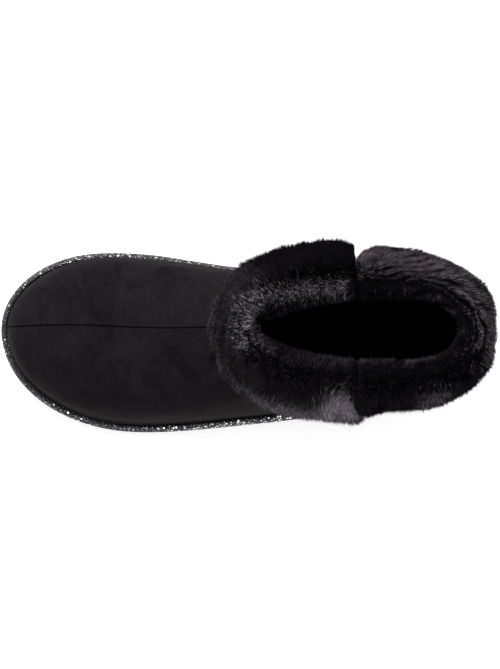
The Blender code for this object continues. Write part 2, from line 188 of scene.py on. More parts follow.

# Light hair tips seen from above, partly the fur's own light tips and partly painted highlight where the
# crests and hems face the light: a line in metres on one piece of the cuff, how far they reach from it,
# how light they are and how warm
TipAndHighlightLine = namedtuple("TipAndHighlightLine", "piece points reach light warm")
FRONT, BACK = "cuff_front", "cuff_back"
TIP_AND_HIGHLIGHT_LINES = (
    TipAndHighlightLine(
        FRONT, ((0.0800, -0.0152), (0.0740, -0.0166), (0.0526, -0.0196), (0.0395, -0.0202)),
        0.0034, 0.70, 0.2,
    ),
    TipAndHighlightLine(
        FRONT, ((0.0800, -0.0150), (0.0866, -0.0094), (0.0886, 0.0000), (0.0870, 0.0060)),
        0.0038, 1.0, 0.2,
    ),
    TipAndHighlightLine(FRONT, ((0.0842, -0.0040), (0.0820, 0.0035), (0.0750, 0.0100)), 0.0024, 0.22, 0.2),
    TipAndHighlightLine(FRONT, ((0.0910, -0.0270), (0.0960, -0.0120), (0.0965, -0.0020)), 0.0080, 0.04, 0.0),
    TipAndHighlightLine(
        FRONT, ((0.0965, -0.0020), (0.0950, 0.0060), (0.0900, 0.0170), (0.0840, 0.0240)),
        0.0090, 0.055, 0.0,
    ),
    TipAndHighlightLine(
        FRONT, ((0.0960, -0.0315), (0.1036, -0.0152), (0.1054, 0.0001), (0.0990, 0.0170)),
        0.0020, 0.13, 0.3,
    ),
    TipAndHighlightLine(FRONT, ((0.0995, 0.0170), (0.0960, 0.0240), (0.0900, 0.0305)), 0.0026, 0.20, 0.3),
    TipAndHighlightLine(FRONT, ((0.0900, 0.0305), (0.0784, 0.0380), (0.0641, 0.0440)), 0.0028, 0.33, 0.3),
    TipAndHighlightLine(FRONT, ((0.0720, 0.0410), (0.0600, 0.0440), (0.0487, 0.0450)), 0.0038, 0.40, 0.3),
    TipAndHighlightLine(FRONT, ((0.0450, 0.0425), (0.0402, 0.0360), (0.0360, 0.0415)), 0.0060, 0.62, 0.3),
    TipAndHighlightLine(BACK, ((0.0330, -0.0362), (0.0133, -0.0352), (-0.0088, -0.0305)), 0.0085, 0.35, 1.0),
    TipAndHighlightLine(
        BACK, ((-0.0088, -0.0305), (-0.0210, -0.0235), (-0.0290, -0.0100), (-0.0330, 0.0080)),
        0.0080, 0.45, 0.8,
    ),
    TipAndHighlightLine(
        BACK, ((0.0069, -0.0228), (0.0000, -0.0228), (-0.0118, -0.0180), (-0.0180, -0.0100)),
        0.0040, 0.32, 0.8,
    ),
    TipAndHighlightLine(BACK, ((-0.0020, 0.0355), (-0.0120, 0.0325)), 0.0044, 0.27, 0.5),
    TipAndHighlightLine(BACK, ((0.0330, 0.0140), (0.0100, 0.0155), (-0.0040, 0.0130)), 0.0036, 0.10, 0.3),
    TipAndHighlightLine(FRONT, ((0.0680, 0.0150), (0.0480, 0.0170), (0.0380, 0.0170)), 0.0036, 0.09, 0.2),
)

# How unevenly the light hairs stand round their line, in all and each for itself, and how soon they end
LINE_SWAY = 0.25
LINE_STRAY = 0.4
LINE_EDGE = 2.6

# Light of the fur away from these lines, from the inner side to the outer side
FUR_BASE_ACROSS = (-0.03, 0.02)
FUR_BASE_LIGHT = (0.0, 0.024)
FUR_BASE_WARM = 0.3

# Folds in the fur seen from above: hairs on either side lean away from the line and are shorter in it
Fold = namedtuple("Fold", "points reach depth")
FOLDS = (
    Fold(((0.0862, 0.0015), (0.0840, 0.0066), (0.0785, 0.0118)), 0.0016, 0.50),
    Fold(
        ((0.0344, -0.0204), (0.0108, -0.0229), (-0.0088, -0.0185), (-0.0172, -0.0110), (-0.0235, 0.0010)),
        0.0032, 0.50,
    ),
)

# How much painted shade darkens the hairs in a fold
FOLD_SHADE = 0.8

# At the side seams the locks of both pieces lean along the collar, towards the toe or away
LEANS = (
    Spot(0.0310, -0.0400, 0.0060, -1.5),
    Spot(0.0330, -0.0235, 0.0060, 1.5),
    Spot(0.0330, 0.0250, 0.0070, 1.1),
    Spot(0.0310, 0.0430, 0.0060, -1.3),
)

# Round the heel the fur lies along the collar, towards the outer side
SWEEPS = (
    Spot(0.0150, -0.0330, 0.0180, 1.6),
    Spot(-0.0150, -0.0270, 0.0150, 1.5),
    Spot(-0.0330, -0.0050, 0.0160, 0.9),
)

# Dark wavy locks round the heel: their waves in radians for each metre away from the collar, how dark
# they are, and where they end
LOCK_WAVES = 1850
LOCK_SHADE = 0.97
LOCKS_FRONT = 0.030
LOCKS_RUN = 0.006


def clean_start():
    for light in [o for o in bpy.data.objects if o.type == "LIGHT"]:
        bpy.data.objects.remove(light)


def linked(name, mesh, material):
    """A new object holding the mesh, in the scene."""
    mesh.materials.clear()
    mesh.materials.append(material)
    piece = bpy.data.objects.new(name, mesh)
    bpy.context.scene.collection.objects.link(piece)
    return piece


def applied(piece):
    """The piece with its modifiers worked into a plain mesh."""
    evaluated = piece.evaluated_get(bpy.context.evaluated_depsgraph_get())
    mesh = bpy.data.meshes.new_from_object(evaluated)
    piece.modifiers.clear()
    old = piece.data
    piece.data = mesh
    bpy.data.meshes.remove(old)
    mesh.name = piece.name
    return piece


def smooth_copy(node, name, material, levels):
    """A copy of a node's solid with joined corners, quads where it can have them, and smoothed faces."""
    work = bmesh.new()
    work.from_mesh(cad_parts[node].data)
    bmesh.ops.remove_doubles(work, verts=work.verts, dist=0.00002)
    bmesh.ops.join_triangles(
        work, faces=work.faces, angle_face_threshold=math.radians(40), angle_shape_threshold=math.radians(60)
    )
    mesh = bpy.data.meshes.new(name)
    work.to_mesh(mesh)
    work.free()
    mesh.shade_smooth()
    piece = linked(name, mesh, material)
    if levels:
        rounding = piece.modifiers.new("rounding", "SUBSURF")
        rounding.levels = levels
        rounding.render_levels = levels
        applied(piece)
    return piece


def positions(mesh):
    co = np.empty(len(mesh.vertices) * 3)
    mesh.vertices.foreach_get("co", co)
    return co.reshape(-1, 3)


def normals(mesh):
    no = np.empty(len(mesh.vertices) * 3)
    mesh.vertices.foreach_get("normal", no)
    return no.reshape(-1, 3)


def set_positions(mesh, co):
    mesh.vertices.foreach_set("co", co.ravel())
    mesh.update()


def store(mesh, name, kind, values):
    """Keeps a value or a vector for each point of the mesh, under that name."""
    layer = mesh.attributes.new(name, kind, "POINT")
    key = "vector" if kind == "FLOAT_VECTOR" else "value"
    layer.data.foreach_set(key, np.asarray(values, dtype=np.float32).ravel())


def stored(mesh, name):
    """The values that the mesh's points have under that name."""
    values = np.empty(len(mesh.vertices))
    mesh.attributes[name].data.foreach_get("value", values)
    return values


def surface_of(node):
    """A node's solid, to find its nearest point and the room in front of a face."""
    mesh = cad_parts[node].data
    return BVHTree.FromPolygons([v.co for v in mesh.vertices], [tuple(p.vertices) for p in mesh.polygons])


def bell(distance, reach):
    return np.exp(-((distance / reach) ** 2))


def at_spot(co, spot):
    """How near each point is to a spot seen from above: 1 on it, fading over its reach."""
    return bell(np.hypot(co[:, 0] - spot.x, co[:, 1] - spot.y), spot.reach)


def off_run(co, first, last):
    """How far along the run from first to last each point is, as a share, and the way to it from there."""
    start, run = np.array(first), np.array(last) - np.array(first)
    t = np.clip(((co - start) @ run) / (run @ run), 0, 1)
    return t, co - (start + t[:, None] * run)


class Net:
    """Nodes of one tree, added and joined by short calls."""

    def __init__(self, tree):
        self.tree = tree

    def add(self, kind, inputs=None, **settings):
        node = self.tree.nodes.new(kind)
        for key, value in settings.items():
            setattr(node, key, value)
        for key, value in (inputs or {}).items():
            self.feed(node.inputs[key], value)
        return node

    def feed(self, socket, value):
        if isinstance(value, bpy.types.NodeSocket):
            self.tree.links.new(value, socket)
        elif isinstance(value, bpy.types.Node):
            self.tree.links.new(value.outputs[0], socket)
        else:
            socket.default_value = value

    def math(self, operation, a, b=0.0, c=0.0, **settings):
        return self.add("ShaderNodeMath", {0: a, 1: b, 2: c}, operation=operation, **settings).outputs[0]

    def vector(self, operation, a, b=(0, 0, 0)):
        return self.add("ShaderNodeVectorMath", {0: a, 1: b}, operation=operation).outputs[0]

    def scaled(self, a, factor):
        return self.add("ShaderNodeVectorMath", {0: a, "Scale": factor}, operation="SCALE").outputs[0]


# Materials


def new_material(name):
    material = bpy.data.materials.new(name)
    material.use_nodes = True
    net = Net(material.node_tree)
    shader = material.node_tree.nodes["Principled BSDF"]
    return material, net, shader


def ramp(net, factor, stops):
    """A colour ramp through (place, colour) stops."""
    node = net.add("ShaderNodeValToRGB", {"Fac": factor})
    elements = node.color_ramp.elements
    while len(elements) < len(stops):
        elements.new(0.5)
    for element, (place, colour) in zip(elements, stops):
        element.position = place
        element.color = (*colour, 1)
    return node.outputs["Color"]


def noise(net, scale, detail=2.0, roughness=0.5, distortion=0.0):
    place = net.add("ShaderNodeTexCoord").outputs["Object"]
    node = net.add(
        "ShaderNodeTexNoise",
        {"Vector": place, "Scale": scale, "Detail": detail, "Roughness": roughness, "Distortion": distortion},
    )
    return node.outputs["Fac"]


def bump(net, shader, height, distance, strength=1.0):
    node = net.add("ShaderNodeBump", {"Height": height, "Distance": distance, "Strength": strength})
    net.feed(shader.inputs["Normal"], node.outputs["Normal"])


def suede_material():
    """Brushed black microsuede: soft mottling where the nap is stroked, a fine nap, and a dark seam line."""
    material, net, shader = new_material("suede")
    broad = noise(net, 46, 5, 0.66, distortion=1.2)
    fine = noise(net, 700, 3, 0.7)
    mottle = net.math("MULTIPLY_ADD", fine, 0.45, net.math("MULTIPLY", broad, 0.55))
    colour = ramp(net, mottle, ((0.38, (0.0042, 0.0038, 0.0045)), (0.62, (0.0112, 0.0100, 0.0115))))
    seam = net.add("ShaderNodeAttribute", attribute_name="seam").outputs["Fac"]
    sewn = net.add("ShaderNodeMix", {0: seam, 6: colour, 7: (0.0008, 0.0008, 0.0009, 1)}, data_type="RGBA")
    net.feed(shader.inputs["Base Color"], sewn.outputs[2])
    shader.inputs["Roughness"].default_value = 0.95
    shader.inputs["Specular IOR Level"].default_value = 0.0
    shader.inputs["Sheen Weight"].default_value = 0.05
    shader.inputs["Sheen Roughness"].default_value = 0.45
    shader.inputs["Sheen Tint"].default_value = (0.75, 0.68, 0.66, 1)
    nap = net.math("MULTIPLY_ADD", noise(net, 2600, 2, 0.6), 0.5, noise(net, 420, 4, 0.7))
    bump(net, shader, nap, 0.00012, 0.7)
    return material


def lining_material():
    """Short black fleece."""
    material, net, shader = new_material("lining_fleece")
    clumps = noise(net, 700, 4, 0.7)
    colour = ramp(net, clumps, ((0.3, (0.002, 0.002, 0.0022)), (0.7, (0.009, 0.0085, 0.009))))
    net.feed(shader.inputs["Base Color"], colour)
    shader.inputs["Roughness"].default_value = 1.0
    shader.inputs["Specular IOR Level"].default_value = 0.05
    bump(net, shader, clumps, 0.0008)
    return material


def rubber_material():
    material, net, shader = new_material("rubber")
    speckle = noise(net, 1500, 3, 0.6)
    colour = ramp(net, speckle, ((0.3, (0.010, 0.010, 0.011)), (0.7, (0.020, 0.020, 0.021))))
    net.feed(shader.inputs["Base Color"], colour)
    shader.inputs["Roughness"].default_value = 0.72
    shader.inputs["Specular IOR Level"].default_value = 0.35
    bump(net, shader, speckle, 0.00012)
    return material


def foam_material():
    material, net, shader = new_material("foam")
    cells = noise(net, 2200, 2, 0.5)
    colour = ramp(net, cells, ((0.3, (0.008, 0.008, 0.009)), (0.7, (0.016, 0.016, 0.017))))
    net.feed(shader.inputs["Base Color"], colour)
    shader.inputs["Roughness"].default_value = 0.9
    bump(net, shader, cells, 0.0001)
    return material


def knit_material():
    """Black knit with slanted lines of silver yarn, broken into short glints. Its UV map is in metres."""
    material, net, shader = new_material("sparkle_knit")
    uv = net.add("ShaderNodeUVMap", uv_map="band").outputs[0]
    parts = net.add("ShaderNodeSeparateXYZ", {0: uv})
    along_band, over = parts.outputs[0], parts.outputs[1]
    slant = net.math("MULTIPLY_ADD", over, YARN_SLANT, along_band)
    wobble = net.math("MULTIPLY", noise(net, 260, 2), YARN_WANDER)
    line = net.math("FRACT", net.math("DIVIDE", net.math("ADD", slant, wobble), YARN_PITCH))
    ridge = net.math("ABSOLUTE", net.math("SUBTRACT", line, 0.5))
    glint = net.math("SUBTRACT", noise(net, GLINT_SCALE, 1), 0.5)
    # Less silver where the band tucks in under the upper: partly the knit's own dark edge, partly painted
    # shade
    tucked = net.math("MULTIPLY_ADD", over, TUCK_SLOPE, TUCK_OFFSET, use_clamp=True)
    thin = net.math("MULTIPLY_ADD", glint, GLINT_CONTRAST, YARN_COVER)
    cover = net.math("MULTIPLY_ADD", tucked, TUCK_COVER, thin)
    yarn = net.math("MULTIPLY", net.math("SUBTRACT", cover, ridge), YARN_EDGE, use_clamp=True)
    stitch = net.math("SINE", net.math("MULTIPLY", along_band, STITCHES))
    row = net.math("SINE", net.math("MULTIPLY", over, STITCH_ROWS))
    loops = net.math("MULTIPLY", stitch, row)
    knit = ramp(net, noise(net, 900, 3), ((0.3, (0.010, 0.009, 0.0105)), (0.7, (0.040, 0.037, 0.042))))
    colour = net.add("ShaderNodeMix", {0: yarn, 6: knit, 7: (0.56, 0.55, 0.57, 1)}, data_type="RGBA")
    net.feed(shader.inputs["Base Color"], colour.outputs[2])
    net.feed(shader.inputs["Metallic"], yarn)
    net.feed(shader.inputs["Roughness"], net.math("MULTIPLY_ADD", yarn, -0.4, 0.9))
    shader.inputs["Specular IOR Level"].default_value = 0.05
    height = net.math("MULTIPLY_ADD", yarn, 0.8, net.math("MULTIPLY", loops, 0.2))
    bump(net, shader, height, 0.00018)
    return material


def sequin_material():
    material, _, shader = new_material("sequin")
    shader.inputs["Base Color"].default_value = (1.0, 1.0, 1.0, 1)
    shader.inputs["Metallic"].default_value = 1.0
    shader.inputs["Roughness"].default_value = 0.22
    return material


def fur_material(name, root, dark_tip, light_tip, warm_tip):
    """Faux fur: each hair is dark at its root, and its tip goes from dark to light with the lines above,
    which hold the fur's own light tips and painted highlights.
    """
    material, net, shader = new_material(name)

    def read(label):
        return net.add("ShaderNodeAttribute", attribute_name=label).outputs["Fac"]

    hue = net.add("ShaderNodeMix", {0: read("warm"), 6: (*light_tip, 1), 7: (*warm_tip, 1)}, data_type="RGBA")
    # Tip colour follows the light attribute: the fur's own light tips, painted highlights and painted shade
    # in folds
    tip = net.add("ShaderNodeMix", {0: read("light"), 6: (*dark_tip, 1), 7: hue.outputs[2]}, data_type="RGBA")
    flecks = ramp(net, noise(net, 420, 2, 0.6), ((0.36, (0.5, 0.5, 0.5)), (0.66, (1, 1, 1))))
    height = net.math("POWER", read("tip"), 0.6)
    shade = net.math("MULTIPLY", height, net.math("MULTIPLY", read("tint"), flecks))
    colour = net.add("ShaderNodeMix", {0: shade, 6: (*root, 1), 7: tip.outputs[2]}, data_type="RGBA")
    net.feed(shader.inputs["Base Color"], colour.outputs[2])
    shader.inputs["Roughness"].default_value = 0.6
    shader.inputs["Specular IOR Level"].default_value = 0.0
    return material


def core_material():
    """The dark backing and deep pile under the hairs."""
    material, net, shader = new_material("pile_core")
    deep = noise(net, 600, 3, 0.6)
    colour = ramp(net, deep, ((0.3, (0.0015, 0.0015, 0.0017)), (0.7, (0.005, 0.0045, 0.005))))
    net.feed(shader.inputs["Base Color"], colour)
    shader.inputs["Roughness"].default_value = 1.0
    shader.inputs["Specular IOR Level"].default_value = 0.0
    return material


# Upper


def seam_offset(co):
    """The distance of each point from the middle seam, which wanders a little."""
    line = SEAM_Y + SEAM_WANDER * np.sin(co[:, 0] * SEAM_WAVES + 0.6)
    return co[:, 1] - line


def cut_lines(piece, places, keep):
    """Cuts rows of edges through the piece at lines y = place, over the faces that keep() picks."""
    work = bmesh.new()
    work.from_mesh(piece.data)
    for y in places:
        faces = [f for f in work.faces if keep(f)]
        whole = [*{v for f in faces for v in f.verts}, *{e for f in faces for e in f.edges}, *faces]
        bmesh.ops.bisect_plane(work, geom=whole, plane_co=(0, y, 0), plane_no=(0, 1, 0), dist=0.00001)
    work.to_mesh(piece.data)
    work.free()
    piece.data.shade_smooth()


def creased(co):
    """How deep the soft creases are at each point; a low ridge stands on either side of each."""
    total = np.zeros(len(co))
    for crease in CREASES:
        ways = [off_run(co, *ends)[1] for ends in zip(crease.points, crease.points[1:])]
        distance = np.min([np.linalg.norm(way, axis=1) for way in ways], axis=0)
        ridge = bell(distance - crease.reach, crease.reach * 0.5)
        total += crease.depth * (bell(distance, crease.reach * 0.6) - 0.5 * ridge)
    return total


def make_upper(suede, lining, wall):
    piece = smooth_copy("upper", "suede_upper", suede, 2)
    piece.data.materials.append(lining)
    rows = [SEAM_Y + SEAM_HALF_WIDTH * step / 3 for step in range(-8, 9)]
    cut_lines(piece, rows, lambda f: abs(f.calc_center_median().y - SEAM_Y) < SEAM_ROOM)
    mesh = piece.data
    co, no = positions(mesh), normals(mesh)
    across = seam_offset(co)
    on_top = np.clip(no[:, 2] * 1.5 + (co[:, 0] > SEAM_AT_TOE) * no[:, 0] * 1.5, 0, 1)
    at_back = (co[:, 0] < SEAM_AT_HEEL) * np.clip(-no[:, 0], 0, 1)
    sewn = np.clip(on_top + at_back, 0, 1)
    groove = bell(across, SEAM_HALF_WIDTH * 0.6)
    rolls = bell(np.abs(across) - SEAM_HALF_WIDTH * 1.3, SEAM_HALF_WIDTH * 0.6)
    depth = SEAM_DEPTH * groove - SEAM_DEPTH * 0.35 * rolls
    co -= no * (depth * sewn + creased(co))[:, None]
    set_positions(mesh, co)
    store(mesh, "seam", "FLOAT", SEAM_SHADE * groove * sewn)
    for face in mesh.polygons:
        spot, out = face.center, face.normal
        hit = wall.ray_cast(spot + out * LINING_FROM, out)
        face.material_index = 1 if hit[0] is not None and spot.z > LINING_LOWEST else 0
    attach(piece, "root")
    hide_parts("upper")
    return piece


# Band round the sole


def band_uv(piece):
    """A UV map in metres: along the band's widest line, and over its face from it. Gives the second."""
    mesh = piece.data
    co = positions(mesh)
    angles = np.arctan2(co[:, 1] - BAND_MIDDLE[1], co[:, 0] - BAND_MIDDLE[0])
    radius = np.hypot(co[:, 0] - BAND_MIDDLE[0], co[:, 1] - BAND_MIDDLE[1])
    which = np.clip(((angles + math.pi) / math.tau * BAND_PARTS).astype(int), 0, BAND_PARTS - 1)
    widest = [np.where(which == i, radius, -1).argmax() for i in range(BAND_PARTS) if (which == i).any()]
    rim = co[widest][:, :2]
    rim = (np.roll(rim, 1, 0) + rim * 2 + np.roll(rim, -1, 0)) / 4
    ends = np.roll(rim, -1, 0)
    steps = np.linalg.norm(ends - rim, axis=1)
    whole = steps.sum()
    along, inset = np.zeros(len(co)), np.full(len(co), 1e9)
    for start, end, step, run in zip(rim, ends, steps, np.cumsum(steps) - steps):
        way = (end - start) / step
        t = np.clip((co[:, :2] - start) @ way, 0, step)
        distance = np.linalg.norm(co[:, :2] - start - t[:, None] * way, axis=1)
        nearer = distance < inset
        along[nearer], inset[nearer] = run + t[nearer], distance[nearer]
    rounds = round(whole / YARN_PITCH) * YARN_PITCH
    along *= rounds / whole
    rise = co[:, 2] - BAND_WIDEST
    over = rise + inset * np.tanh(rise / BAND_TURN)
    layer = mesh.uv_layers.new(name="band")
    for face in mesh.polygons:
        run = along[list(face.vertices)]
        if run.max() - run.min() > rounds / 2:
            run = np.where(run < rounds / 2, run + rounds, run)
        for loop, place, vertex in zip(face.loop_indices, run, face.vertices):
            layer.data[loop].uv = (place, over[vertex])
    return over


def new_tree(name, labels):
    """A Geometry Nodes tree that takes a surface, numbers with these labels and a seed."""
    tree = bpy.data.node_groups.new(name, "GeometryNodeTree")
    face = tree.interface
    face.new_socket("Geometry", in_out="INPUT", socket_type="NodeSocketGeometry")
    for label in labels:
        face.new_socket(label, in_out="INPUT", socket_type="NodeSocketFloat")
    face.new_socket("Seed", in_out="INPUT", socket_type="NodeSocketInt")
    face.new_socket("Geometry", in_out="OUTPUT", socket_type="NodeSocketGeometry")
    net = Net(tree)
    return tree, net, net.add("NodeGroupInput").outputs


def kept_value(net, geometry, label, value, domain):
    """The geometry with a number kept on it under that label."""
    return net.add(
        "GeometryNodeStoreNamedAttribute",
        {"Geometry": geometry, "Name": label, "Value": value},
        data_type="FLOAT",
        domain=domain,
    )


def scatter_tree(name, part, material):
    """Geometry Nodes that strew small copies of a part over a surface, turned with it and a little tilted."""
    tree, net, inputs = new_tree(name, ("Density", "Tilt"))
    share = net.add("GeometryNodeInputNamedAttribute", {"Name": "grow"}, data_type="FLOAT").outputs[0]
    density = net.math("MULTIPLY", share, inputs["Density"])
    points = net.add(
        "GeometryNodeDistributePointsOnFaces",
        {"Mesh": inputs["Geometry"], "Density": density, "Seed": inputs["Seed"]},
        distribute_method="RANDOM",
    )
    tilt = inputs["Tilt"]
    back = net.math("MULTIPLY", tilt, -1.0)
    low = net.add("ShaderNodeCombineXYZ", {0: back, 1: back})
    high = net.add("ShaderNodeCombineXYZ", {0: tilt, 1: tilt, 2: math.tau})
    turn = net.add(
        "FunctionNodeRandomValue", {0: low, 1: high, "Seed": inputs["Seed"]}, data_type="FLOAT_VECTOR"
    )
    rotation = net.add(
        "FunctionNodeRotateRotation",
        {"Rotation": points.outputs["Rotation"], "Rotate By": turn.outputs[0]},
        rotation_space="LOCAL",
    )
    size = net.add("FunctionNodeRandomValue", {2: 0.6, 3: 1.25, "Seed": inputs["Seed"]}, data_type="FLOAT")
    strewn = net.add(
        "GeometryNodeInstanceOnPoints",
        {
            "Points": points.outputs["Points"],
            "Instance": part(net),
            "Rotation": rotation,
            "Scale": size.outputs[1],
        },
    )
    solid = net.add("GeometryNodeRealizeInstances", {"Geometry": strewn})
    painted = net.add("GeometryNodeSetMaterial", {"Geometry": solid, "Material": material})
    net.add("NodeGroupOutput", {0: painted})
    return tree


def sequin(net):
    disc = net.add(
        "GeometryNodeMeshCylinder",
        {"Vertices": 6, "Radius": SEQUIN_RADIUS, "Depth": SEQUIN_DEPTH},
        fill_type="NGON",
    )
    return disc.outputs["Mesh"]


def hair(length, radius, bent):
    """A part for hair_tree: a pointed hair along +Z, straight, or bent towards +X and full to its middle."""

    def build(net):
        cone = net.add(
            "GeometryNodeMeshCone",
            {
                "Vertices": 3,
                "Side Segments": 2 if bent else 1,
                "Radius Top": 0.0,
                "Radius Bottom": radius,
                "Depth": length,
            },
            fill_type="NGON",
        ).outputs["Mesh"]
        spot = net.add("GeometryNodeInputPosition")
        height = net.add("ShaderNodeSeparateXYZ", {0: spot}).outputs[2]
        t = net.math("DIVIDE", height, length)
        marked = kept_value(net, cone, "tip", t, "POINT")
        if not bent:
            return marked.outputs[0]
        lean = net.math("MULTIPLY", net.math("POWER", t, 2.0), length * HAIR_BEND)
        full = net.math("MULTIPLY", net.math("MULTIPLY", t, net.math("SUBTRACT", 1.0, t)), 4.0)
        flat = net.vector("MULTIPLY", net.scaled(spot.outputs[0], full), (1, 1, 0))
        shift = net.vector("ADD", flat, net.add("ShaderNodeCombineXYZ", {0: lean}).outputs[0])
        return net.add("GeometryNodeSetPosition", {"Geometry": marked, "Offset": shift}).outputs[0]

    return build


def hair_tree(name, part, material):
    """Geometry Nodes that grow hairs on a surface. The surface says where they grow, which way they lie and
    how long they are; lift, lay and tousle set their direction."""
    tree, net, inputs = new_tree(name, ("Density", "Lift", "Lay", "Tousle", "Shortest"))

    def named(label, kind="FLOAT"):
        return net.add("GeometryNodeInputNamedAttribute", {"Name": label}, data_type=kind).outputs[0]

    points = net.add(
        "GeometryNodeDistributePointsOnFaces",
        {
            "Mesh": inputs["Geometry"],
            "Density": net.math("MULTIPLY", named("grow"), inputs["Density"]),
            "Seed": inputs["Seed"],
        },
        distribute_method="RANDOM",
    )
    normal = net.scaled(points.outputs["Normal"], inputs["Lift"])
    nap = named("nap", "FLOAT_VECTOR")
    lay = net.scaled(nap, inputs["Lay"])
    spot = net.add("GeometryNodeInputPosition").outputs[0]
    clump = net.add(
        "ShaderNodeTexNoise", {"Vector": spot, "Scale": CLUMP_SCALE, "Detail": 2.0}
    ).outputs["Color"]
    stray = net.add(
        "FunctionNodeRandomValue",
        {0: (-0.5, -0.5, -0.5), 1: (0.5, 0.5, 0.5), "Seed": inputs["Seed"]},
        data_type="FLOAT_VECTOR",
    ).outputs[0]
    swirl = net.vector("ADD", net.vector("SUBTRACT", clump, (0.5, 0.5, 0.5)), net.scaled(stray, STRAY))
    aim = net.vector("ADD", net.vector("ADD", normal, lay), net.scaled(swirl, inputs["Tousle"]))
    upright = net.add("FunctionNodeAlignRotationToVector", {"Vector": aim}, axis="Z")
    turned = net.add(
        "FunctionNodeAlignRotationToVector", {"Rotation": upright, "Vector": nap}, axis="X", pivot_axis="Z"
    )
    size = net.add(
        "FunctionNodeRandomValue", {2: inputs["Shortest"], 3: 1.0, "Seed": inputs["Seed"]}, data_type="FLOAT"
    )
    grown = net.add(
        "GeometryNodeInstanceOnPoints",
        {
            "Points": points.outputs["Points"],
            "Instance": part(net),
            "Rotation": turned,
            "Scale": net.math("MULTIPLY", size.outputs[1], named("pile")),
        },
    )
    tint = net.add("FunctionNodeRandomValue", {2: TINT_LOW, 3: 1.0, "Seed": 7}, data_type="FLOAT")
    tinted = kept_value(net, grown, "tint", tint.outputs[1], "INSTANCE")
    solid = net.add("GeometryNodeRealizeInstances", {"Geometry": tinted})
    smooth = net.add("GeometryNodeSetShadeSmooth", {"Geometry": solid})
    painted = net.add("GeometryNodeSetMaterial", {"Geometry": smooth, "Material": material})
    net.add("NodeGroupOutput", {0: painted})
    return tree


def grown(name, base, tree, values, material):
    """The mesh that a tree makes on a copy of the base, as a piece of its own."""
    piece = bpy.data.objects.new(name, base.data.copy())
    bpy.context.scene.collection.objects.link(piece)
    modifier = piece.modifiers.new(name, "NODES")
    modifier.node_group = tree
    for item in tree.interface.items_tree:
        if item.in_out == "INPUT" and item.name in values:
            modifier[item.identifier] = values[item.name]
    applied(piece)
    piece.data.materials.clear()
    piece.data.materials.append(material)
    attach(piece, "root")
    return piece


def make_band(knit, silver):
    piece = smooth_copy("platform_wrap", "knit_band", knit, 2)
    over = band_uv(piece)
    mesh = piece.data
    co, no = positions(mesh), normals(mesh)
    outward = ((co[:, :2] - np.array(BAND_MIDDLE)) * no[:, :2]).sum(1) > 0
    set_positions(mesh, co + no * (outward * KNIT_LOFT)[:, None])
    glitter = np.full(len(co), GLITTER_ELSEWHERE)
    for stretch in GLITTER:
        inside = (co[:, 1] * stretch.side > 0) * (co[:, 0] > stretch.back) * (co[:, 0] < stretch.front)
        glitter = np.where(inside, stretch.share, glitter)
    glitter *= np.where(over > GLITTER_FULL_OVER, 1, 0.5) * (over > GLITTER_LOWEST)
    store(mesh, "grow", "FLOAT", outward * glitter)
    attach(piece, "root")
    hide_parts("platform_wrap")
    tree = scatter_tree("sequins", sequin, silver)
    values = {"Density": SEQUIN_DENSITY, "Seed": 4, "Tilt": SEQUIN_TILT}
    sequins = grown("sequins", piece, tree, values, silver)


# Cuff


def outward_from_ankle(co):
    """For each point, the level direction away from the collar's middle line."""
    away = off_run(co[:, :2], ANKLE_BACK, ANKLE_FRONT)[1]
    away /= np.linalg.norm(away, axis=1)[:, None] + 1e-9
    return np.concatenate([away, np.zeros((len(co), 1))], 1)


def from_line(co, points):
    """Each point's distance from a line of points seen from above, and the level direction away from it."""
    best = np.full(len(co), 1e9)
    away = np.zeros((len(co), 3))
    for first, last in zip(points, points[1:]):
        gap = off_run(co[:, :2], first, last)[1]
        distance = np.linalg.norm(gap, axis=1)
        nearer = distance < best
        best[nearer] = distance[nearer]
        away[nearer, :2] = gap[nearer] / (distance[nearer, None] + 1e-9)
    return best, away


def pile_over(co, side):
    """How far the sheared pile stands out past the solid's fur face. It doesn't inside or at the front hem,
    and in the notch it is cut deeper."""
    share = np.clip((FRONT_HEM - co[:, 0]) / FRONT_HEM_RUN, -0.1, 1)
    share *= 1 + NOTCH.strength * at_spot(co, NOTCH)
    for spot in (OUTER_TUFT, HEEL_SHOULDER, INNER_HEM, HEEL_END, OUTER_HEM):
        share += spot.strength * at_spot(co, spot)
    return TRIM * share * np.clip(side * 4 + 0.4, 0, 1)


def trim(piece, face, seed):
    """Shears a layer of hairs almost evenly, past the solid's fur face."""
    co = positions(piece.data)
    found = [face.find_nearest(Vector(spot)) for spot in co]
    out = np.array([hit[1] for hit in found])
    limit = pile_over(co, (out * outward_from_ankle(co)).sum(1))
    limit += TRIM_SPREAD * np.random.default_rng(seed).random(len(co))
    for i, (spot, hit) in enumerate(zip(co, found)):
        spot, there = Vector(spot), hit[0]
        over = (spot - there).dot(hit[1]) - limit[i]
        if over > 0:
            co[i] = spot - (spot - there).normalized() * over
    set_positions(piece.data, co)


